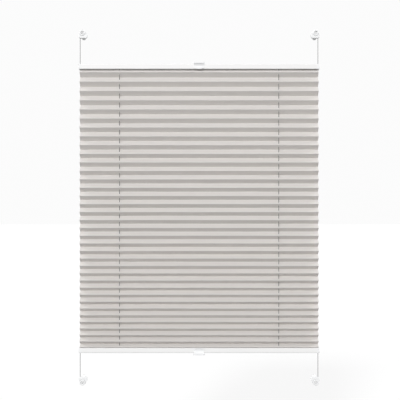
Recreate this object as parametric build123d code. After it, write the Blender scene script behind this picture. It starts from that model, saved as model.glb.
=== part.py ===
from build123d import *
import math
import os

# Pleated blind held by tensioned cords: two movable rails, one folded fabric between them,
# and four tension shoes screwed to the face of a window sash. Millimetres.
# X is the width, +Y points at the window and +Z up. The origin is the centre of the four
# shoe screws, on the sash face (Y = 0); everything lies on the room side of it, at Y < 0.

# ---- overall sizes -------------------------------------------------------------------------
overall_width = 600.0        # outer faces of the end caps
overall_height = 889.0       # outer end of an upper shoe to outer end of a lower shoe
upper_rail_drop = 99.5       # outer end of an upper shoe to the upper rail's fabric side
lower_rail_rise = 94.5       # outer end of a lower shoe to the lower rail's fabric side

# ---- rail section --------------------------------------------------------------------------
rail_depth = 20.0
rail_height = 12.5
rail_wall = 1.2
rail_web = 0.8               # floor between the fabric channel and the cord chamber
rail_corner = 2.0
slot_width = 10.0            # opening that the fabric passes through
channel_height = 3.0         # channel that holds the fabric strip
channel_lip = 2.0            # how far the channel reaches behind each lip
sash_gap = 1.5               # back of a rail to the sash face

# ---- end caps ------------------------------------------------------------------------------
cap_length = 7.0
cap_wall = 1.0               # closed end, past the end of the fabric
cap_plug_length = 9.0
fit_gap = 0.15               # clearance of a plug, a bar or a block in the rail

# ---- cords ---------------------------------------------------------------------------------
cord_diameter = 1.2
cord_play = 0.6              # a cord in every bore that it runs through
cord_gap = 0.6               # between the two cords where they cross inside the rails
cord_forward = 0.9           # mid depth of the rail to the mid depth between the two cords
cord_inset = 3.0             # end of the rail to the vertical cord beside it
cord_turn = 3.0              # radius of a cord where it turns into or out of a rail
knot_rim = 0.7               # how far a knot stands out round its cord
knot_length = 2.4
fabric_cord_inset = 101.0    # end of the rail to the cord in the fabric

# ---- fabric --------------------------------------------------------------------------------
fabric_side_gap = 1.0        # side of the fabric to the closed end of a cap
fabric_thickness = 0.4
ridge_count = 35             # folds that face the room
leg_length = 20.0            # fabric from one fold to the next
first_ridge_drop = 7.5       # upper rail down to the first ridge
last_ridge_rise = 16.7       # lower rail up to the last ridge
pitch_taper = 0.198          # upper pleats hang open this much more than the mean, lower ones less
fabric_hole_room = 1.0       # all round the cord
fabric_tab = 6.0             # flat end of the fabric, glued along its strip
tab_gap = 0.3                # fabric to the lips and to the strip

# ---- fabric strips -------------------------------------------------------------------------
strip_thickness = 1.4
strip_hole_room = 1.2        # all round the cord

# ---- cord guides ---------------------------------------------------------------------------
guide_length = 14.0
guide_boss = 5.4
guide_boss_gap = 0.15
guide_groove_room = 0.4      # beside each cord's bore

# ---- handles -------------------------------------------------------------------------------
handle_width = 25.0
handle_lip_width = 29.0
handle_face = 3.2
handle_lip_reach = 5.6
handle_lip_height = 3.0
handle_rise = 1.6            # gap between the top of the rail and the lip
handle_hook_reach = 5.0
handle_hook_thickness = 1.2
handle_scoop_radius = 9.0
handle_skin = 1.3            # thinnest place of the hollow face

# ---- tension springs -----------------------------------------------------------------------
spring_room = 0.6            # spring to the floor and the top of the cord chamber
spring_wire = 0.5
spring_pitch = 2.0
spring_turns = 24
spring_inset = 50.0          # end of the rail to the middle of the spring

# ---- tension shoes -------------------------------------------------------------------------
post_radius = 7.6
foot_rim = 0.4               # foot plate beyond the post, all round
post_proud = 1.6             # post in front of the holder
post_inset = 5.4             # cord line to the post, towards the middle
post_drop = 8.0              # outer end of the shoe to the post's axis
foot_thickness = 5.5
foot_toe_radius = 5.6
foot_toe_drop = 19.0
toe_inset = 8.0
screw_hole = 4.0
screw_head = 8.0
stud_diameter = 3.0
stud_length = 6.0
stud_inset = 9.5
stud_drop = 18.2
holder_wall = 0.8            # between a knot's pocket and the front of the holder
holder_height = 13.0
holder_corner = 4.4
holder_nose = 4.0            # holder beyond the cord line, outwards
holder_reach = 17.6          # holder beyond the cord line, inwards
holder_drop = 8.5            # outer end of the shoe to the holder's outer edge
shoe_gap = 0.3               # holder to post and foot

# ---- places that follow --------------------------------------------------------------------
upper_rail_seat = overall_height / 2 - upper_rail_drop
lower_rail_seat = lower_rail_rise - overall_height / 2
rail_middle = -(sash_gap + rail_depth / 2)
rail_front = rail_middle - rail_depth / 2
rail_length = overall_width - 2 * cap_length
channel_floor = rail_wall
channel_width = slot_width + 2 * (rail_wall + channel_lip)
web_floor = channel_floor + channel_height
chamber_floor = web_floor + rail_web
chamber_top = rail_height - rail_wall
chamber_height = chamber_top - chamber_floor
chamber_width = rail_depth - 2 * rail_wall
cord_level = chamber_floor + chamber_height / 2
cord_x = overall_width / 2 - cord_inset
shoe_end = overall_height / 2
cord_passage = cord_diameter + cord_play
cord_spacing = cord_diameter + cord_gap
cord_plane = rail_middle - cord_forward
cord_depth = {"left": cord_plane - cord_spacing / 2, "right": cord_plane + cord_spacing / 2}
other = {"left": "right", "right": "left"}
strip_level = web_floor - fit_gap - strip_thickness
tab_level = strip_level - tab_gap - fabric_thickness / 2
fabric_width = overall_width - 2 * (cap_wall + fabric_side_gap)
fabric_cord_place = overall_width / 2 - fabric_cord_inset
fabric_hole = cord_diameter + 2 * fabric_hole_room
strip_hole = cord_diameter + 2 * strip_hole_room
guide_groove = cord_spacing + cord_passage + 2 * guide_groove_room
spring_place = overall_width / 2 - spring_inset
spring_diameter = chamber_height - 2 * spring_room
knot_diameter = cord_diameter + 2 * knot_rim
pocket_radius = knot_diameter / 2 + fit_gap
holder_top = -(foot_thickness + shoe_gap)
holder_depth = holder_top - (cord_depth["left"] - pocket_radius - holder_wall)
post_length = holder_depth - holder_top + post_proud
knot_drop = holder_drop + holder_height - knot_length


def from_left(part, side):
    """A piece modelled at the left, or its mirror image at the right."""
    return part if side == "left" else mirror(part, about=Plane.YZ)


def from_rail(part, end):
    """A piece modelled on a rail whose fabric side is Z = 0 and faces down, set on its rail."""
    if end == "upper":
        return Pos(0, 0, upper_rail_seat) * part
    return Pos(0, 0, lower_rail_seat) * mirror(part, about=Plane.XY)


def block(x, y, z, centre):
    """A box of the given size about a centre."""
    return Pos(*centre) * Box(x, y, z)


def across_y(sketch, start, length):
    """A sketch drawn in X and Z, made solid from Y = start towards the room."""
    plane = Plane((0, start, 0), x_dir=(1, 0, 0), z_dir=(0, -1, 0))
    return extrude(plane * sketch, amount=length)


def route(points, radius):
    """Straight runs through the points, joined by arcs of one radius."""
    return FilletPolyline(*points, radius=radius)


def tube(path, diameter):
    """A round solid of one diameter along a route."""
    return sweep(Plane(path @ 0, z_dir=path % 0) * Circle(diameter / 2), path=path)


# ---- rails ---------------------------------------------------------------------------------
def rail_outline():
    outline = Pos(rail_middle, rail_height / 2) * Rectangle(rail_depth, rail_height)
    return fillet(outline.vertices(), rail_corner)


def along_x(sketch, start, length):
    """A sketch drawn in Y and Z, made solid from X = start towards +X."""
    plane = Plane((start, 0, 0), x_dir=(0, 1, 0), z_dir=(1, 0, 0))
    return extrude(plane * sketch, amount=length)


def fabric_side_cut():
    """The slot for the fabric and the wider channel behind it."""
    slot = Pos(rail_middle, rail_wall / 2) * Rectangle(slot_width, rail_wall * 1.01)
    channel = Rectangle(channel_width, channel_height)
    return slot + Pos(rail_middle, channel_floor + channel_height / 2) * channel


def rail():
    profile = rail_outline() - fabric_side_cut()
    chamber = fillet(Rectangle(chamber_width, chamber_height).vertices(), rail_wall / 2)
    profile -= Pos(rail_middle, chamber_floor + chamber_height / 2) * chamber
    body = along_x(profile, -rail_length / 2, rail_length)
    for side, sign in (("left", -1), ("right", 1)):
        depth = cord_depth[other[side]]
        hole = Cylinder(guide_boss / 2 + guide_boss_gap, rail_web * 1.5)
        body -= Pos(sign * fabric_cord_place, depth, web_floor + rail_web / 2) * hole
    return body


def cap_route():
    """Where the left cord enters the left end cap and turns along the rail."""
    depth = cord_depth["left"]
    inner_end = -overall_width / 2 + cap_length + cap_plug_length + 1
    corner = (-cord_x, depth, cord_level)
    return route([(-cord_x, depth, rail_height + 1), corner, (inner_end, depth, cord_level)], cord_turn)


def end_cap(side):
    """End block that carries on the slot and the channel, with a plug in the cord chamber."""
    start = -overall_width / 2
    cap = along_x(rail_outline(), start, cap_length)
    cap -= along_x(fabric_side_cut(), start + cap_wall, cap_length)
    plug_width = chamber_width - 2 * fit_gap
    plug_height = chamber_height - 2 * fit_gap
    plug = fillet(Rectangle(plug_width, plug_height).vertices(), rail_wall / 2)
    plug = Pos(rail_middle, chamber_floor + chamber_height / 2) * plug
    cap += along_x(plug, start + cap_length, cap_plug_length)
    outer_edges = cap.faces().sort_by(Axis.X)[0].edges()
    cap = fillet(outer_edges, rail_wall / 2)
    depth = cord_depth[side]
    path = cap_route().moved(Location((0, depth - cord_depth["left"], 0)))
    return from_left(cap - tube(path, cord_passage), side)


def fabric_strip():
    """Flat bar that the end of the fabric is glued to, slid into the rail's channel."""
    length = overall_width - 2 * (cap_wall + fit_gap)
    width = channel_width - 2 * fit_gap
    bar = block(length, width, strip_thickness, (0, rail_middle, strip_level + strip_thickness / 2))
    for side, sign in (("left", -1), ("right", 1)):
        depth = cord_depth[other[side]]
        bar -= Pos(sign * fabric_cord_place, depth, strip_level) * Cylinder(strip_hole / 2, 4)
    return bar


def cord_guide(side):
    """Block in the chamber that turns the crossing cord down and lets the other one run past."""
    depth = cord_depth[other[side]]
    height = chamber_height - 2 * fit_gap
    middle = chamber_floor + chamber_height / 2
    width = chamber_width - 2 * fit_gap
    guide = block(guide_length, width, height, (-fabric_cord_place, rail_middle, middle))
    guide = fillet(guide.edges().filter_by(Axis.X), rail_wall / 2)
    boss_height = rail_web + fit_gap
    boss = Cylinder(guide_boss / 2, boss_height)
    guide += Pos(-fabric_cord_place, depth, web_floor + boss_height / 2) * boss
    groove_floor = cord_level - cord_passage / 2
    groove_height = chamber_top - groove_floor
    groove_middle = groove_floor + groove_height / 2
    groove = (-fabric_cord_place, cord_plane, groove_middle)
    guide -= block(guide_length * 1.1, guide_groove, groove_height, groove)
    corner = (-fabric_cord_place, depth, cord_level)
    inner = (-fabric_cord_place + guide_length, depth, cord_level)
    path = route([(-fabric_cord_place, depth, web_floor - 1), corner, inner], cord_turn)
    return from_left(guide - tube(path, cord_passage), side)


# ---- handles -------------------------------------------------------------------------------
def handle():
    """Grip clipped over the front of a rail: hollow face, finger lip and a hook on the rail."""
    half = handle_width / 2
    top = rail_height + handle_rise
    sag = rail_height * 0.25
    outline = Polyline((-half, sag), (-half, top), (half, top), (half, sag))
    outline += ThreePointArc((half, sag), (0, -0.2), (-half, sag))
    grip = across_y(make_face(outline), rail_front, handle_face)
    scoop = Cylinder(handle_scoop_radius, handle_width * 2, rotation=(0, 90, 0))
    scoop_depth = rail_front - handle_skin - handle_scoop_radius
    grip -= Pos(0, scoop_depth, rail_height * 0.56) * scoop
    lip_size = (handle_lip_width, handle_lip_reach, handle_lip_height)
    lip_middle = (0, rail_front - handle_lip_reach / 2, top + handle_lip_height / 2)
    lip = block(*lip_size, lip_middle)
    lip = fillet(lip.edges().filter_by(Axis.Z), handle_lip_height / 2)
    lip = fillet(lip.faces().sort_by(Axis.Z)[-1].edges(), handle_lip_height / 3)
    stem_height = top + handle_lip_height / 2 - rail_height
    stem_middle = rail_height + stem_height / 2
    stem = block(handle_width, handle_hook_thickness, stem_height, (0, rail_front, stem_middle))
    hook_middle = (0, rail_front + handle_hook_reach / 2, rail_height + handle_hook_thickness / 2)
    hook = block(handle_width * 0.7, handle_hook_reach, handle_hook_thickness, hook_middle)
    return grip + lip + stem + hook


# ---- fabric --------------------------------------------------------------------------------
def fold_points():
    """Depth and height of each fold, from the upper rail's channel to the lower rail's."""
    drop = upper_rail_seat - lower_rail_seat - first_ridge_drop - last_ridge_rise
    mean_pitch = drop / (ridge_count - 1)
    height = upper_rail_seat - first_ridge_drop
    points = []
    for ridge in range(ridge_count):
        share = 1 - 2 * ridge / (ridge_count - 1)
        pitch = mean_pitch * (1 + pitch_taper * share)
        half_depth = math.sqrt(leg_length ** 2 - (pitch / 2) ** 2) / 2
        points.append((rail_middle - half_depth, height))
        points.append((rail_middle + half_depth, height - pitch / 2))
        next_share = 1 - 2 * (ridge + 0.5) / (ridge_count - 1)
        height -= mean_pitch * (1 + pitch_taper * next_share)
    return points


def pleated_fabric():
    """One folded sheet with a flat tab at each end and a row of punched holes at each cord."""
    tab = fabric_tab / 2
    upper_tab = upper_rail_seat + tab_level
    lower_tab = lower_rail_seat - tab_level
    line = [(rail_middle - tab, upper_tab), (rail_middle + tab, upper_tab)]
    line += fold_points()
    line += [(rail_middle + tab, lower_tab), (rail_middle - tab, lower_tab)]
    sheet = along_x(folded_outline(line, fabric_thickness), -fabric_width / 2, fabric_width)
    for side, sign in (("left", -1), ("right", 1)):
        depth = cord_depth[other[side]]
        hole = Cylinder(fabric_hole / 2, overall_height)
        sheet -= Pos(sign * fabric_cord_place, depth, 0) * hole
    return sheet


def folded_outline(line, thickness):
    """Closed outline of a folded sheet of even thickness about the line of its folds."""
    front = []
    back = []
    for index, point in enumerate(line):
        before = line[max(index - 1, 0)]
        after = line[min(index + 1, len(line) - 1)]
        incoming = unit(before, point) or unit(point, after)
        outgoing = unit(point, after) or incoming
        normal = (-(incoming[1] + outgoing[1]), incoming[0] + outgoing[0])
        size = math.hypot(*normal)
        normal = (normal[0] / size, normal[1] / size)
        reach = thickness / 2 / (normal[0] * -incoming[1] + normal[1] * incoming[0])
        front.append((point[0] + normal[0] * reach, point[1] + normal[1] * reach))
        back.append((point[0] - normal[0] * reach, point[1] - normal[1] * reach))
    return make_face(Polyline(*front, *reversed(back), close=True))


def unit(start, end):
    """Unit direction from start to end, or None where they are the same point."""
    run = (end[0] - start[0], end[1] - start[1])
    size = math.hypot(*run)
    return (run[0] / size, run[1] / size) if size else None


# ---- cords and springs ---------------------------------------------------------------------
spring_length = spring_pitch * spring_turns
spring_hook = spring_diameter / 2 + spring_wire
knot_seat = spring_length / 2 + spring_hook + knot_length / 2


def knotted(path):
    """A cord along a route with a knot at each end."""
    knot = Cylinder(knot_diameter / 2, knot_length)
    knot = fillet(knot.edges(), knot_diameter / 4)
    ends = [Plane(path @ 0, z_dir=path % 0) * knot, Plane(path @ 1, z_dir=path % 1) * knot]
    return tube(path, cord_diameter) + ends


def main_cord(side):
    """From the upper shoe through the upper rail, down the fabric and along the lower rail."""
    sign = -1 if side == "left" else 1
    depth = cord_depth[side]
    upper_level = upper_rail_seat + cord_level
    lower_level = lower_rail_seat - cord_level
    top = (sign * cord_x, depth, shoe_end - knot_drop)
    spring_end = (sign * (spring_place - knot_seat), depth, lower_level)
    points = [top]
    points.append((sign * cord_x, depth, upper_level))
    points.append((-sign * fabric_cord_place, depth, upper_level))
    points.append((-sign * fabric_cord_place, depth, lower_level))
    points.append(spring_end)
    return knotted(route(points, cord_turn))


def tail_cord(side):
    """From the tension spring to the end of the lower rail and down to the lower shoe."""
    sign = -1 if side == "left" else 1
    depth = cord_depth[side]
    level = lower_rail_seat - cord_level
    spring_end = (sign * (spring_place + knot_seat), depth, level)
    bottom = (sign * cord_x, depth, -shoe_end + knot_drop)
    return knotted(route([spring_end, (sign * cord_x, depth, level), bottom], cord_turn))


def tension_spring(side):
    """Open-wound extension spring with a ring at each end, in the lower rail's chamber."""
    sign = -1 if side == "left" else 1
    coil_radius = (spring_diameter - spring_wire) / 2
    helix = Helix(spring_pitch, spring_length, coil_radius)
    section = Plane(helix @ 0, z_dir=helix % 0) * Circle(spring_wire / 2)
    spring = sweep(section, path=helix, is_frenet=True)
    ring_radius = (spring_diameter - spring_wire) / 4
    ring = Torus(ring_radius, spring_wire / 2, rotation=(90, 0, 0))
    spring += Pos(coil_radius - ring_radius, 0, 0) * ring
    spring += Pos(coil_radius - ring_radius, 0, spring_length) * ring
    middle = (sign * spring_place - spring_length / 2, cord_depth[side], lower_rail_seat - cord_level)
    return Pos(*middle) * Rot(0, 90, 0) * spring


# ---- tension shoes -------------------------------------------------------------------------
def shoe_point(inset, drop):
    """Place on the upper left shoe: inwards from the cord line, down from the outer end."""
    return (-cord_x + inset, shoe_end - drop)


def from_upper_left(part, end, side):
    """A shoe piece modelled at the upper left, mirrored to its corner."""
    turned = part if end == "upper" else mirror(part, about=Plane.XY)
    return from_left(turned, side)


def shoe_foot(end, side):
    """Screwed foot: a long round post with the screw hole, and a toe that carries the stud."""
    post = shoe_point(post_inset, post_drop)
    toe = shoe_point(toe_inset, foot_toe_drop)
    plate = make_hull([*(Pos(*post) * Circle(post_radius + foot_rim)).edges(),
                       *(Pos(*toe) * Circle(foot_toe_radius)).edges()])
    foot = across_y(plate, 0, foot_thickness)
    foot = fillet(foot.faces().sort_by(Axis.Y)[0].edges(), 1.0)
    column = across_y(Pos(*post) * Circle(post_radius), 0, post_length)
    foot += fillet(column.faces().sort_by(Axis.Y)[0].edges(), 1.6)
    stud_reach = foot_thickness / 2 + stud_length
    stud = shoe_point(stud_inset, stud_drop)
    foot += across_y(Pos(*stud) * Circle(stud_diameter / 2), -foot_thickness / 2, stud_reach)
    foot -= across_y(Pos(*post) * Circle(screw_hole / 2), 1, post_length + 2)
    sink = across_y(Pos(*post) * Circle(screw_head / 2), -post_length + 3, 4)
    foot -= sink
    return from_upper_left(foot, end, side)


def cord_holder(end, side):
    """Holder on the stud, hollowed round the post; the cord's knot sits in its nose."""
    post = shoe_point(post_inset, post_drop)
    stud = shoe_point(stud_inset, stud_drop)
    left, upper = shoe_point(-holder_nose, holder_drop)
    right, lower = shoe_point(holder_reach, holder_drop + holder_height)
    outline = Pos((left + right) / 2, (upper + lower) / 2) * Rectangle(right - left, holder_height)
    holder = across_y(fillet(outline.vertices(), holder_corner), holder_top, holder_depth)
    holder = fillet(holder.faces().sort_by(Axis.Y)[0].edges(), 1.2)
    holder -= across_y(Pos(*post) * Circle(post_radius + shoe_gap), 1, post_length + 2)
    bore_length = 1 + foot_thickness + stud_length + shoe_gap
    holder -= across_y(Pos(*stud) * Circle(stud_diameter / 2 + fit_gap), 1, bore_length)
    depth = cord_depth[side]
    seat = shoe_end - knot_drop - knot_length / 2 - fit_gap
    holder -= Pos(-cord_x, depth, seat) * Cylinder(cord_passage / 2, holder_height)
    pocket = Cylinder(pocket_radius, holder_height, align=(Align.CENTER, Align.CENTER, Align.MIN))
    holder -= Pos(-cord_x, depth, seat) * pocket
    return from_upper_left(holder, end, side)


# ---- the blind -----------------------------------------------------------------------------
nodes = {"pleated_fabric": pleated_fabric()}
for end in ("upper", "lower"):
    nodes[end + "_rail"] = from_rail(rail(), end)
    nodes[end + "_fabric_strip"] = from_rail(fabric_strip(), end)
    nodes[end + "_handle"] = from_rail(handle(), end)
    for side in ("left", "right"):
        nodes[end + "_end_cap_" + side] = from_rail(end_cap(side), end)
        nodes[end + "_cord_guide_" + side] = from_rail(cord_guide(side), end)
        nodes[end + "_shoe_foot_" + side] = shoe_foot(end, side)
        nodes[end + "_cord_holder_" + side] = cord_holder(end, side)
for side in ("left", "right"):
    nodes["main_cord_" + side] = main_cord(side)
    nodes["tail_cord_" + side] = tail_cord(side)
    nodes["tension_spring_" + side] = tension_spring(side)

os.makedirs("parts", exist_ok=True)
for name, part in nodes.items():
    export_step(part, "parts/" + name + ".step")
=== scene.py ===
import math

import bpy
import numpy as np
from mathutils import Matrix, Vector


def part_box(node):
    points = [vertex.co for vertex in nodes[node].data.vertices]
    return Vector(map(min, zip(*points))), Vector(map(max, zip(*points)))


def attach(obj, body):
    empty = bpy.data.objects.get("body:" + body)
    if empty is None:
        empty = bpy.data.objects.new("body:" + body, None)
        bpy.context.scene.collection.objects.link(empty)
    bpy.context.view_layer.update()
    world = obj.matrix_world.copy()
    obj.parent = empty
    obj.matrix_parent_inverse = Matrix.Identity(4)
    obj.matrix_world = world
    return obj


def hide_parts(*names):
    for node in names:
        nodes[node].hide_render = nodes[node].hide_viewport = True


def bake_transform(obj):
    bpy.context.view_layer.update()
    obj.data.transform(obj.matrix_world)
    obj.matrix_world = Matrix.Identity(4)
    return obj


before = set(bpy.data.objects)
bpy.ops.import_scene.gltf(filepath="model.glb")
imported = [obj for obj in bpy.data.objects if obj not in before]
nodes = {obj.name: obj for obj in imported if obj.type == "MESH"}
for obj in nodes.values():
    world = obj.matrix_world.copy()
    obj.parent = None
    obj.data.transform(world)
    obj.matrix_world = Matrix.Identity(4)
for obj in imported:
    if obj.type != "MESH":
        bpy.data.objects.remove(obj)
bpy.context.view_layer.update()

# ---- Camera --------------------------------------------------------------------------------
# Straight in front of the blind at eye level, near its middle. It is far enough away that the
# upper rail shows a sliver of its underside and the lower rail a sliver of its top.
collection = bpy.context.scene.collection
rail_low, rail_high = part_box("upper_rail")
depth_middle = (rail_low.y + rail_high.y) / 2
camera_distance = 2.6
seen_width = 1.0
eye_level = 0.0188
camera_side = 0.00225
sensor_width = 36.0
farthest_seen = 60.0

camera = bpy.data.objects.new("camera", bpy.data.cameras.new("camera"))
collection.objects.link(camera)
camera.location = (camera_side, depth_middle - camera_distance, eye_level)
camera.rotation_euler = (math.radians(90), 0, 0)
camera.data.sensor_width = sensor_width
camera.data.lens = sensor_width * camera_distance / seen_width
camera.data.clip_end = farthest_seen
bpy.context.scene.camera = camera


# ---- Rails ---------------------------------------------------------------------------------
# Two aluminium extrusions of one section, cut to the width of the blind and powder coated in
# white. The coat has a fine orange peel, and faint draw lines run along the length.
coat_shades = ((0.80, 0.80, 0.795, 1), (0.84, 0.84, 0.835, 1))
peel_per_metre = 1400.0
draw_lines_per_metre = (6.0, 900.0, 900.0)
coat_clouds_per_metre = 14.0
peel_height = 0.0002


class Socket:
    """A socket in a node tree; the usual operators on it add Math nodes."""

    def __init__(self, tree, socket=None):
        self.tree = tree
        self.socket = socket

    def node(self, kind, settings=None, values=None, output=0):
        """Adds a node, sets it up, then fills its sockets, by name or number."""
        made = self.tree.nodes.new(kind)
        for name, value in (settings or {}).items():
            if name == "stops":
                for stop, (place, colour) in zip(ramp_stops(made, len(value)), value):
                    stop.position = place
                    stop.color = colour
            else:
                setattr(made, name, value)
        for name, value in (values or {}).items():
            if isinstance(value, Socket):
                self.tree.links.new(value.socket, made.inputs[name])
            else:
                made.inputs[name].default_value = value
        return Socket(self.tree, made.outputs[output])

    def maths(self, operation, *values):
        return self.node("ShaderNodeMath", {"operation": operation}, dict(enumerate(values)))

    def __add__(self, other):
        return self.maths("ADD", self, other)

    def __radd__(self, other):
        return self.maths("ADD", other, self)

    def __sub__(self, other):
        return self.maths("SUBTRACT", self, other)

    def __rsub__(self, other):
        return self.maths("SUBTRACT", other, self)

    def __mul__(self, other):
        return self.maths("MULTIPLY", self, other)

    def __truediv__(self, other):
        return self.maths("DIVIDE", self, other)


def ramp_stops(made, count):
    """The stops of a ramp node, as many as are wanted."""
    stops = made.color_ramp.elements
    while len(stops) < count:
        stops.new(1.0)
    return stops


def material(name, build):
    """A material whose surface is what build returns for its node tree."""
    made = bpy.data.materials.new(name)
    made.use_nodes = True
    tree = made.node_tree
    tree.nodes.clear()
    output = tree.nodes.new("ShaderNodeOutputMaterial")
    tree.links.new(build(Socket(tree)).socket, output.inputs["Surface"])
    return made


def noise(add, vector, scale, detail=2.0):
    """Even noise from 0 to 1, at so many features to the metre."""
    values = {"Vector": vector, "Scale": scale, "Detail": detail, "Roughness": 0.55}
    return add.node("ShaderNodeTexNoise", {}, values, "Fac")


def stretched(add, vector, scale):
    """Coordinates pulled out along an axis, so that a pattern runs in lines."""
    return add.node("ShaderNodeMapping", {}, {"Vector": vector, "Scale": scale})


def between(add, factor, low, high):
    """A colour mixed from low to high."""
    settings = {"data_type": "RGBA"}
    values = {"Factor": factor, 6: low, 7: high}
    return add.node("ShaderNodeMix", settings, values, 2)


def powder_coat(add):
    """White satin paint: its tone drifts a little, and peel and draw lines roughen it."""
    place = add.node("ShaderNodeTexCoord", output="Object")
    peel = noise(add, place, peel_per_metre)
    drawn = noise(add, stretched(add, place, draw_lines_per_metre), 1.0)
    cloud = noise(add, place, coat_clouds_per_metre)
    height = peel * 0.7 + drawn * 0.3
    bump = {"Strength": 0.12, "Distance": peel_height, "Height": height}
    values = {"Base Color": between(add, cloud, *coat_shades)}
    values["Roughness"] = 0.34 + peel * 0.10
    values["Normal"] = add.node("ShaderNodeBump", {}, bump)
    values["Coat Weight"] = 0.15
    values["Coat Roughness"] = 0.2
    return add.node("ShaderNodeBsdfPrincipled", {}, values)


coat = material("white_powder_coat", powder_coat)


def dress(made, *names):
    """Gives CAD nodes a material."""
    for name in names:
        for slot in nodes[name].material_slots:
            slot.material = made


dress(coat, "upper_rail", "lower_rail")


# ---- Moulded pieces ------------------------------------------------------------------------
# End caps, handles, cord guides, fabric strips and the shoes are injection moulded in white
# plastic with a fine spark-eroded grain. They are a touch cooler than the coat of the rails.
plastic_shades = ((0.80, 0.805, 0.81, 1), (0.84, 0.845, 0.85, 1))
grains_per_metre = 2600.0
flow_marks_per_metre = 60.0
grain_height = 0.0001


def moulded_plastic(add):
    """White plastic: faint flow marks in its tone, and the grain of the mould."""
    place = add.node("ShaderNodeTexCoord", output="Object")
    grain = noise(add, place, grains_per_metre, 1.0)
    flow = noise(add, place, flow_marks_per_metre)
    values = {"Base Color": between(add, flow, *plastic_shades)}
    values["Roughness"] = 0.36 + grain * 0.14
    bump = {"Strength": 0.10, "Distance": grain_height, "Height": grain}
    values["Normal"] = add.node("ShaderNodeBump", {}, bump)
    return add.node("ShaderNodeBsdfPrincipled", {}, values)


plastic = material("white_moulded_plastic", moulded_plastic)
for end in ("upper", "lower"):
    dress(plastic, end + "_handle", end + "_fabric_strip")
    for side in ("left", "right"):
        dress(plastic, f"{end}_end_cap_{side}", f"{end}_cord_guide_{side}")
        dress(plastic, f"{end}_shoe_foot_{side}", f"{end}_cord_holder_{side}")


# ---- Tension springs -----------------------------------------------------------------------
# Two open-wound springs of bright drawn steel wire, hidden in the lower rail. Each is knotted
# between a main cord and its tail, and keeps both of them tight.
wire_shades = ((0.50, 0.50, 0.50, 1), (0.62, 0.62, 0.61, 1))
wire_marks_per_metre = 3000.0


def drawn_wire(add):
    """Bright steel with the fine marks of the drawing die."""
    place = add.node("ShaderNodeTexCoord", output="Object")
    marks = noise(add, place, wire_marks_per_metre)
    values = {"Base Color": between(add, marks, *wire_shades), "Metallic": 1.0}
    values["Roughness"] = 0.25 + marks * 0.15
    return add.node("ShaderNodeBsdfPrincipled", {}, values)


dress(material("drawn_steel_wire", drawn_wire), "tension_spring_left", "tension_spring_right")


# ---- Pleated fabric ------------------------------------------------------------------------
# One sheet of fine polyester cloth, pressed into folds and punched in every leg for the cords.
# Its ends are glued flat to strips inside the rails. Its weight opens the upper pleats most,
# and it is drawn as two halves, cut apart at one length along its path.
fabric_low, fabric_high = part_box("pleated_fabric")
fabric_width = fabric_high.x - fabric_low.x
upper_seat = rail_low.z
lower_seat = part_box("lower_rail")[1].z
ridge_count = 35
leg_length = 0.020
pitch_taper = 0.198
first_ridge_drop = 0.0075
last_ridge_rise = 0.0167
last_fold_lift = 0.001
tab_half_depth = 0.003
tab_height = fabric_high.z - 0.0002
cloth_thickness = 0.0004
crease_radius = 0.0006
columns_across = 60
pleat_wave = 0.0005
wave_scale = (5.0, 1.0, 40.0)
hole_radius = 0.0016
hole_across = 0.199
cord_depths = {"left": -0.0133, "right": -0.0115}
middle_cut = 0.6560
past_the_end = 9.0
threads_per_metre = 620.0
slubs_per_metre = (25.0, 1500.0, 1.0)
cloth_clouds_per_metre = 9.0
thread_height = 0.0001
cloth_shades = ((0.735, 0.710, 0.688, 1), (0.775, 0.750, 0.728, 1))
shine_through = (0.68, 0.65, 0.62, 1)
shine_share = 0.12


def geometry_tree(name, inputs):
    """An empty Geometry Nodes tree with named inputs; returns it and its input values."""
    tree = bpy.data.node_groups.new(name, "GeometryNodeTree")
    tree.interface.new_socket("Geometry", in_out="INPUT", socket_type="NodeSocketGeometry")
    tree.interface.new_socket("Geometry", in_out="OUTPUT", socket_type="NodeSocketGeometry")
    for label, value in inputs.items():
        kind = "Int" if isinstance(value, int) else "Float"
        socket = tree.interface.new_socket(label, in_out="INPUT", socket_type="NodeSocket" + kind)
        socket.default_value = value
    entry = tree.nodes.new("NodeGroupInput")
    values = {label: Socket(tree, entry.outputs[label]) for label in inputs}
    return Socket(tree), values, Socket(tree, entry.outputs["Geometry"])


def close_tree(add, result, made):
    """Ends a tree: instances made real, material set."""
    real = add.node("GeometryNodeRealizeInstances", {}, {"Geometry": result})
    done = add.node("GeometryNodeSetMaterial", {}, {"Geometry": real, "Material": made})
    output = add.tree.nodes.new("NodeGroupOutput")
    add.tree.links.new(done.socket, output.inputs["Geometry"])
    return add.tree


def bake(name, tree, sizes=None, source=None):
    """A plain mesh object from a tree, with the given sizes set on its modifier."""
    holder = bpy.data.objects.new(name + "_source", source or bpy.data.meshes.new(name))
    collection.objects.link(holder)
    modifier = holder.modifiers.new("shape", "NODES")
    modifier.node_group = tree
    for item in tree.interface.items_tree:
        if item.in_out == "INPUT" and item.name in (sizes or {}):
            modifier[item.identifier] = sizes[item.name]
    bpy.context.view_layer.update()
    evaluated = holder.evaluated_get(bpy.context.evaluated_depsgraph_get())
    mesh = bpy.data.meshes.new_from_object(evaluated)
    mesh.name = name
    bpy.data.objects.remove(holder)
    piece = bpy.data.objects.new(name, mesh)
    collection.objects.link(piece)
    return piece


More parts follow.
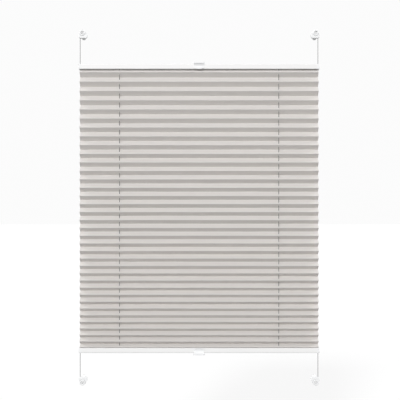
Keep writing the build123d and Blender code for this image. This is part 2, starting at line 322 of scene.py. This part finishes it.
def fabric_tree(made):
    """The folded sheet between two lengths along its own path, Start and End."""
    sizes = {
        "Ridges": ridge_count,
        "Leg": leg_length,
        "Taper": pitch_taper,
        "Upper seat": upper_seat,
        "Lower seat": lower_seat,
        "First drop": first_ridge_drop,
        "Last rise": last_ridge_rise,
        "Depth": depth_middle,
        "Tab": tab_half_depth,
        "Tab height": tab_height,
        "Width": fabric_width,
        "Thickness": cloth_thickness,
        "Crease": crease_radius,
        "Last lift": last_fold_lift,
        "Columns": columns_across,
        "Wave": pleat_wave,
        "Start": 0.0,
        "End": past_the_end,
        "Hole": hole_radius,
        "Hole place": hole_across,
        "Left hole depth": cord_depths["right"],
        "Right hole depth": cord_depths["left"],
    }
    add, size, _ = geometry_tree("pleats", sizes)

    # Fold points: two for each ridge, and two more for the flat tab at each end. The pitch
    # falls evenly from the first ridge to the last.
    gaps = size["Ridges"] - 1.0
    drop = size["Upper seat"] - size["Lower seat"] - size["First drop"] - size["Last rise"]
    mean = drop / gaps
    index = add.node("GeometryNodeInputIndex")
    fold = index - 2.0
    ridge = add.maths("FLOOR", fold / 2.0)
    valley = fold - ridge * 2.0
    pitch = mean * (1.0 + size["Taper"] * (1.0 - ridge * 2.0 / gaps))
    fallen = mean * (ridge + size["Taper"] * (ridge - ridge * ridge / gaps))
    height = size["Upper seat"] - size["First drop"] - fallen - pitch * 0.5 * valley
    half = add.maths("SQRT", size["Leg"] * size["Leg"] - pitch * pitch * 0.25) * 0.5
    depth = size["Depth"] + half * (valley * 2.0 - 1.0)
    above = add.maths("LESS_THAN", index, 1.5)
    below = add.maths("GREATER_THAN", index, size["Ridges"] * 2.0 + 2.5)
    last = add.maths("GREATER_THAN", index, size["Ridges"] * 2.0 + 1.5)
    tab = above + below
    odd = add.maths("FLOORED_MODULO", index, 2.0)
    tab_depth = size["Depth"] - size["Tab"] * (1.0 - odd * 2.0)
    lower_tab = size["Lower seat"] + size["Upper seat"] - size["Tab height"]
    height = height + last * size["Last lift"]
    depth = depth * (1.0 - tab) + tab_depth * tab
    height = height * (1.0 - tab) + size["Tab height"] * above + lower_tab * below

    # The line of the folds, creased, swept across the width.
    count = add.node("FunctionNodeFloatToInt", {}, {0: size["Ridges"] * 2.0 + 5.0})
    line = add.node("GeometryNodeMeshLine", {}, {"Count": count})
    place = add.node("ShaderNodeCombineXYZ", {}, {"X": depth, "Y": height})
    line = add.node("GeometryNodeSetPosition", {}, {"Geometry": line, "Position": place})
    path = add.node("GeometryNodeMeshToCurve", {}, {"Mesh": line})
    crease = {"Curve": path, "Radius": size["Crease"], "Limit Radius": True, "Count": 3}
    path = add.node("GeometryNodeFilletCurve", {"mode": "POLY"}, crease)
    trim = {"Curve": path, 4: size["Start"], 5: size["End"]}
    path = add.node("GeometryNodeTrimCurve", {"mode": "LENGTH"}, trim)
    along = add.node("GeometryNodeSplineParameter", output="Length") + size["Start"]
    keep = {"data_type": "FLOAT", "domain": "POINT"}
    values = {"Geometry": path, "Name": "along", "Value": along}
    path = add.node("GeometryNodeStoreNamedAttribute", keep, values)
    path = add.node("GeometryNodeSetCurveNormal", {"mode": "Z_UP"}, {"Curve": path})
    section = {"Width": size["Thickness"], "Height": size["Width"]}
    section = add.node("GeometryNodeCurvePrimitiveQuadrilateral", {"mode": "RECTANGLE"}, section)
    long_side = add.maths("FLOORED_MODULO", index, 2.0)
    cuts = add.node("FunctionNodeFloatToInt", {}, {0: long_side * size["Columns"]})
    section = add.node("GeometryNodeSubdivideCurve", {}, {"Curve": section, "Cuts": cuts})
    swept = {"Curve": path, "Profile Curve": section, "Fill Caps": True}
    sheet = add.node("GeometryNodeCurveToMesh", {}, swept)

    # Turned upright, with a slight wave along each pleat, and unrolled for the weave.
    here = add.node("GeometryNodeInputPosition")
    parts = add.node("ShaderNodeSeparateXYZ", {}, {0: here})
    x, y, z = (Socket(add.tree, parts.socket.node.outputs[axis]) for axis in "XYZ")
    upright = add.node("ShaderNodeCombineXYZ", {}, {"X": z, "Y": x, "Z": y})
    sheet = add.node("GeometryNodeSetPosition", {}, {"Geometry": sheet, "Position": upright})
    across = add.node("ShaderNodeSeparateXYZ", {}, {0: here})
    number = {"data_type": "FLOAT"}
    unrolled = add.node("GeometryNodeInputNamedAttribute", number, {"Name": "along"})
    flat_place = add.node("ShaderNodeCombineXYZ", {}, {"X": across, "Y": unrolled})
    flat = {"data_type": "FLOAT2", "domain": "CORNER"}
    values = {"Geometry": sheet, "Name": "sheet", "Value": flat_place}
    sheet = add.node("GeometryNodeStoreNamedAttribute", flat, values)
    product = {"operation": "MULTIPLY"}
    scaled = add.node("ShaderNodeVectorMath", product, {0: here, 1: wave_scale})
    wave = add.node("ShaderNodeTexNoise", {}, {"Vector": scaled, "Scale": 1.0, "Detail": 1.0})
    offset = (wave - 0.5) * size["Wave"]
    shift = add.node("ShaderNodeCombineXYZ", {}, {"Z": offset})
    sheet = add.node("GeometryNodeSetPosition", {}, {"Geometry": sheet, "Offset": shift})

    # A hole in every leg at each cord.
    for side, sign in (("Left", -1.0), ("Right", 1.0)):
        drill = {"Vertices": 12, "Radius": size["Hole"], "Depth": 2.0}
        drill = add.node("GeometryNodeMeshCylinder", {}, drill)
        where = {"X": size["Hole place"] * sign, "Y": size[side + " hole depth"]}
        where = add.node("ShaderNodeCombineXYZ", {}, where)
        drill = add.node("GeometryNodeTransform", {}, {"Geometry": drill, "Translation": where})
        tools = {"Mesh 1": sheet, "Mesh 2": drill}
        how = {"operation": "DIFFERENCE", "solver": "EXACT"}
        sheet = add.node("GeometryNodeMeshBoolean", how, tools)
    flat_faces = {"Geometry": sheet, "Shade Smooth": False}
    sheet = add.node("GeometryNodeSetShadeSmooth", {}, flat_faces)
    return close_tree(add, sheet, made)


def cloth(add):
    """Fine plain weave in warm light grey, a little of the light passing through it."""
    place = add.node("ShaderNodeUVMap", {"uv_map": "sheet"})
    waves = {"Vector": place, "Scale": threads_per_metre}
    weft = add.node("ShaderNodeTexWave", {"bands_direction": "X"}, waves)
    warp = add.node("ShaderNodeTexWave", {"bands_direction": "Y"}, waves)
    slub = noise(add, stretched(add, place, slubs_per_metre), 1.0)
    cloud = noise(add, place, cloth_clouds_per_metre)
    tone = cloud * 0.4 + slub * 0.6
    height = weft * 0.5 + warp * 0.5
    bump = {"Strength": 0.2, "Distance": thread_height, "Height": height}
    values = {"Base Color": between(add, tone, *cloth_shades), "Roughness": 0.8}
    values["Normal"] = add.node("ShaderNodeBump", {}, bump)
    solid = add.node("ShaderNodeBsdfPrincipled", {}, values)
    through = add.node("ShaderNodeBsdfTranslucent", {}, {"Color": shine_through})
    return add.node("ShaderNodeMixShader", {}, {0: shine_share, 1: solid, 2: through})


pleats = fabric_tree(material("pleated_cloth", cloth))
upper_half = bake("pleated_fabric_upper", pleats, {"End": middle_cut})
lower_half = bake("pleated_fabric_lower", pleats, {"Start": middle_cut})
middle = max(v.co.z for v in lower_half.data.vertices)


def even_blend(piece):
    """Bakes the piece's placement into its mesh."""
    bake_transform(piece)


for piece in (upper_half, lower_half):
    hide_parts("pleated_fabric")
even_blend(upper_half)
even_blend(lower_half)

# ---- Cords ---------------------------------------------------------------------------------
# Two braided polyester cords under tension. Each goes from a shoe along the upper rail, down
# through the fabric's holes on the other side, and back along the lower rail to its spring.
# A short tail goes on from the spring to the lower shoe. All ends are knotted.
cord_across = {"left": -0.297, "right": 0.297}
fabric_cord_across = {"left": hole_across, "right": -hole_across}
cord_radius = 0.0006
turn_radius = 0.003
strand_lay = 0.0016
strand_pairs = 4
strand_height = 0.0001
# The darker colour is painted shade for the grooves between the strands; the lighter one is the
# strand crests.
cord_crest_and_painted_groove_shades = ((0.03, 0.03, 0.03, 1), (0.075, 0.075, 0.073, 1))
knot_size = 0.00042
knot_steps = 48
upper_run = 0.35315
lower_run = -0.35815
rail_top = rail_high.z
rail_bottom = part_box("lower_rail")[0].z
knot_height = 0.4254
spring_end = 0.22175
tail_start = 0.27825


def cord_tree(made):
    """A round cord along a line, its corners eased, with its own length and turn kept."""
    sizes = {"Radius": cord_radius, "Turn": turn_radius}
    add, size, line = geometry_tree("cord", sizes)
    path = add.node("GeometryNodeMeshToCurve", {}, {"Mesh": line})
    bend = {"Curve": path, "Radius": size["Turn"], "Limit Radius": True, "Count": 8}
    path = add.node("GeometryNodeFilletCurve", {"mode": "POLY"}, bend)
    keep = {"data_type": "FLOAT", "domain": "POINT"}
    along = add.node("GeometryNodeSplineParameter", output="Length")
    values = {"Geometry": path, "Name": "along", "Value": along}
    path = add.node("GeometryNodeStoreNamedAttribute", keep, values)
    values = {"Resolution": 16, "Radius": size["Radius"]}
    ring = add.node("GeometryNodeCurvePrimitiveCircle", {"mode": "RADIUS"}, values)
    around = add.node("GeometryNodeSplineParameter", output="Factor")
    values = {"Geometry": ring, "Name": "around", "Value": around}
    ring = add.node("GeometryNodeStoreNamedAttribute", keep, values)
    swept = {"Curve": path, "Profile Curve": ring, "Fill Caps": True}
    tube = add.node("GeometryNodeCurveToMesh", {}, swept)
    return close_tree(add, tube, made)


def braid(add):
    """Sixteen-strand braid: two sets of strands wind round the cord both ways; painted shade
    darkens the grooves.
    """
    keep = {"attribute_name": "along", "attribute_type": "GEOMETRY"}
    along = add.node("ShaderNodeAttribute", keep, output="Fac")
    around = add.node("ShaderNodeAttribute", dict(keep, attribute_name="around"), output="Fac")
    lay = along * (2 * math.pi / strand_lay)
    turn = around * (2 * math.pi * strand_pairs)
    one = add.maths("ABSOLUTE", add.maths("SINE", lay + turn))
    two = add.maths("ABSOLUTE", add.maths("SINE", lay - turn))
    height = add.maths("MAXIMUM", one, two)
    # Darker where the strand height is low: painted shade in the grooves of the braid.
    values = {"Base Color": between(add, height, *cord_crest_and_painted_groove_shades), "Roughness": 0.6}
    bump = {"Strength": 0.5, "Distance": strand_height, "Height": height}
    values["Normal"] = add.node("ShaderNodeBump", {}, bump)
    return add.node("ShaderNodeBsdfPrincipled", {}, values)


cord = cord_tree(material("braided_cord", braid))


def knot(centre, along):
    """Points of an overhand knot, pulled tight, about a centre, its length along an axis."""
    points = []
    for step in range(knot_steps):
        t = 2 * math.pi * step / knot_steps
        a = (math.sin(t) + 2 * math.sin(2 * t)) * knot_size
        b = (math.cos(t) - 2 * math.cos(2 * t)) * knot_size
        c = -math.sin(3 * t) * knot_size
        if along == "z":
            points.append((centre[0] + a, centre[1] + c, centre[2] + b))
        else:
            points.append((centre[0] + b, centre[1] + c, centre[2] + a))
    return points


def stretch(name, points, stands_for, knots=()):
    """One stretch of cord through the points, with an overhand knot at each place given."""
    line = bpy.data.meshes.new(name)
    edges = [(i, i + 1) for i in range(len(points) - 1)]
    places = list(points)
    for centre, axis in knots:
        start = len(places)
        loop = knot(centre, axis)
        places += loop
        edges += [(start + i, start + (i + 1) % len(loop)) for i in range(len(loop))]
    line.from_pydata(places, edges, [])
    piece = bake(name, cord, source=line)
    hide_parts(stands_for)
    return piece


for side in ("left", "right"):
    x, y = cord_across[side], cord_depths[side]
    inner = fabric_cord_across[side]
    sign = math.copysign(1, x)
    main, tail = "main_cord_" + side, "tail_cord_" + side
    top = (x, y, knot_height)
    piece = stretch(main + "_above", [top, (x, y, rail_top)], main, [(top, "z")])
    even_blend(piece)
    run = [(x, y, rail_top), (x, y, upper_run), (inner, y, upper_run), (inner, y, upper_seat)]
    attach(stretch(main + "_upper_run", run, main), "upper_rail_body")
    piece = stretch(main + "_fabric_upper", [(inner, y, upper_seat), (inner, y, middle)], main)
    even_blend(piece)
    piece = stretch(main + "_fabric_lower", [(inner, y, middle), (inner, y, lower_seat)], main)
    even_blend(piece)
    end = (sign * spring_end, y, lower_run)
    run = [(inner, y, lower_seat), (inner, y, lower_run), end]
    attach(stretch(main + "_lower_run", run, main, [(end, "x")]), "lower_rail_body")
    start = (sign * tail_start, y, lower_run)
    run = [start, (x, y, lower_run), (x, y, rail_bottom)]
    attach(stretch(tail + "_run", run, tail, [(start, "x")]), "lower_rail_body")
    bottom = (x, y, -knot_height)
    piece = stretch(tail + "_below", [(x, y, rail_bottom), bottom], tail, [(bottom, "z")])
    even_blend(piece)

# ---- Shoe screws ---------------------------------------------------------------------------
# A pan-head steel screw in the post of each shoe, with a cross slot. It holds the shoe to the
# window frame, and it is lacquered white like the post.
screw_across = 0.2916
screw_height = 0.4365
head_sink = 0.003
head_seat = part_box("upper_shoe_foot_left")[0].y + head_sink
head_steps = 32
head_outline = [
    (0.0, -0.0022),
    (0.0010, -0.00217),
    (0.0020, -0.00195),
    (0.0028, -0.0015),
    (0.0034, -0.0008),
    (0.0035, -0.0003),
    (0.0033, 0.0),
    (0.0018, 0.0),
    (0.0018, 0.011),
    (0.0, 0.0125),
]
slot_width = 0.001
slot_box = (0.002, 0.0036)
slot_level = head_outline[0][1]
first_turn = 0.35
turn_step = 0.7
specks_per_metre = 900.0
lacquer_shades = ((0.74, 0.74, 0.74, 1), (0.82, 0.82, 0.82, 1))


def screw_head():
    """Points and faces of a domed head and a length of shank, turned about its axis."""
    points, faces = [], []
    for radius, level in head_outline:
        for step in range(head_steps):
            turn = 2 * math.pi * step / head_steps
            points.append((radius * math.cos(turn), level, radius * math.sin(turn)))
    for row in range(len(head_outline) - 1):
        for step in range(head_steps):
            a = row * head_steps + step
            b = row * head_steps + (step + 1) % head_steps
            faces.append((a, b, b + head_steps, a + head_steps))
    return points, faces


def screw_tree(made):
    """The head slotted crosswise, then set in all four shoes, each turned its own way."""
    sizes = {"Across": screw_across, "Height": screw_height}
    sizes.update({"Seat": head_seat, "Slot": slot_width})
    add, size, head = geometry_tree("shoe_screws", sizes)
    head = add.node("GeometryNodeMergeByDistance", {}, {"Geometry": head, "Distance": 0.00001})
    for turn in (0.0, math.radians(90)):
        bar = {"X": size["Slot"], "Y": slot_box[0], "Z": slot_box[1]}
        bar = add.node("ShaderNodeCombineXYZ", {}, bar)
        bar = add.node("GeometryNodeMeshCube", {}, {"Size": bar})
        bar = {"Geometry": bar, "Translation": (0, slot_level, 0), "Rotation": (0, turn, 0)}
        bar = add.node("GeometryNodeTransform", {}, bar)
        how = {"operation": "DIFFERENCE", "solver": "EXACT"}
        head = add.node("GeometryNodeMeshBoolean", how, {"Mesh 1": head, "Mesh 2": bar})
    four = add.node("GeometryNodeMeshLine", {}, {"Count": 4})
    index = add.node("GeometryNodeInputIndex")
    right = add.maths("FLOORED_MODULO", index, 2.0) * 2.0 - 1.0
    upper = add.maths("FLOOR", index / 2.0) * 2.0 - 1.0
    place = {"X": right * size["Across"], "Y": size["Seat"], "Z": upper * size["Height"]}
    place = add.node("ShaderNodeCombineXYZ", {}, place)
    four = add.node("GeometryNodeSetPosition", {}, {"Geometry": four, "Position": place})
    turned = add.node("ShaderNodeCombineXYZ", {}, {"Y": index * turn_step + first_turn})
    placed = {"Points": four, "Instance": head, "Rotation": turned}
    screws = add.node("GeometryNodeInstanceOnPoints", {}, placed)
    return close_tree(add, screws, made)


def lacquered_steel(add):
    """White lacquer with a fine speckle."""
    place = add.node("ShaderNodeTexCoord", output="Object")
    speck = noise(add, place, specks_per_metre)
    values = {"Base Color": between(add, speck, *lacquer_shades)}
    values["Roughness"] = 0.3 + speck * 0.2
    return add.node("ShaderNodeBsdfPrincipled", {}, values)


head_mesh = bpy.data.meshes.new("screw_head")
head_points, head_faces = screw_head()
head_mesh.from_pydata(head_points, [], head_faces)
lacquer = material("lacquered_steel", lacquered_steel)
screws = bake("shoe_screws", screw_tree(lacquer), source=head_mesh)
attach(screws, "root")

# ---- Floor and light -----------------------------------------------------------------------
# A pale floor well below the blind, white air all round, one soft lamp a little above and to
# the left of the camera, and one soft lamp at each side. The floor doesn't light the blind.
floor_reach = 30.0
floor_level = -0.75
floor_grey = (0.25, 0.25, 0.25, 1)
floor_glow = 0.65
white = (1.0, 1.0, 1.0, 1)
air_seen = 0.97
air_light = 0.45

floor_mesh = bpy.data.meshes.new("floor")
corners = [(-floor_reach, -floor_reach, floor_level), (floor_reach, -floor_reach, floor_level)]
corners += [(floor_reach, floor_reach, floor_level), (-floor_reach, floor_reach, floor_level)]
floor_mesh.from_pydata(corners, [], [(0, 1, 2, 3)])
floor = bpy.data.objects.new("floor", floor_mesh)
collection.objects.link(floor)


def pale_floor(add):
    """A plain pale floor that glows faintly, so that it is as bright as the air."""
    values = {"Base Color": floor_grey, "Roughness": 0.9}
    values["Emission Color"] = white
    values["Emission Strength"] = floor_glow
    return add.node("ShaderNodeBsdfPrincipled", {}, values)


floor_mesh.materials.append(material("pale_floor", pale_floor))
floor.visible_diffuse = False
floor.visible_glossy = False

bpy.context.scene.view_settings.view_transform = "Standard"
world = bpy.data.worlds.new("studio")
bpy.context.scene.world = world
world.use_nodes = True
world.node_tree.nodes.clear()
air = Socket(world.node_tree)
seen = air.node("ShaderNodeBackground", {}, {"Color": white, "Strength": air_seen})
lit = air.node("ShaderNodeBackground", {}, {"Color": white, "Strength": air_light})
straight = air.node("ShaderNodeLightPath", output="Is Camera Ray")
mixed = air.node("ShaderNodeMixShader", {}, {0: straight, 1: lit, 2: seen})
sky = world.node_tree.nodes.new("ShaderNodeOutputWorld")
world.node_tree.links.new(mixed.socket, sky.inputs["Surface"])


def lamp(name, azimuth, elevation, strength, softness):
    """A far soft lamp; azimuth 0 is the room side and turns to the right."""
    made = bpy.data.objects.new(name, bpy.data.lights.new(name, "SUN"))
    collection.objects.link(made)
    made.data.energy = strength
    made.data.angle = math.radians(softness)
    made.rotation_euler = (math.radians(90 - elevation), 0, math.radians(azimuth))


lamp("front_lamp", -12.0, 24.0, 2.2, 8.0)
lamp("left_lamp", -108.0, 25.0, 2.0, 20.0)
lamp("right_lamp", 108.0, 25.0, 2.0, 20.0)
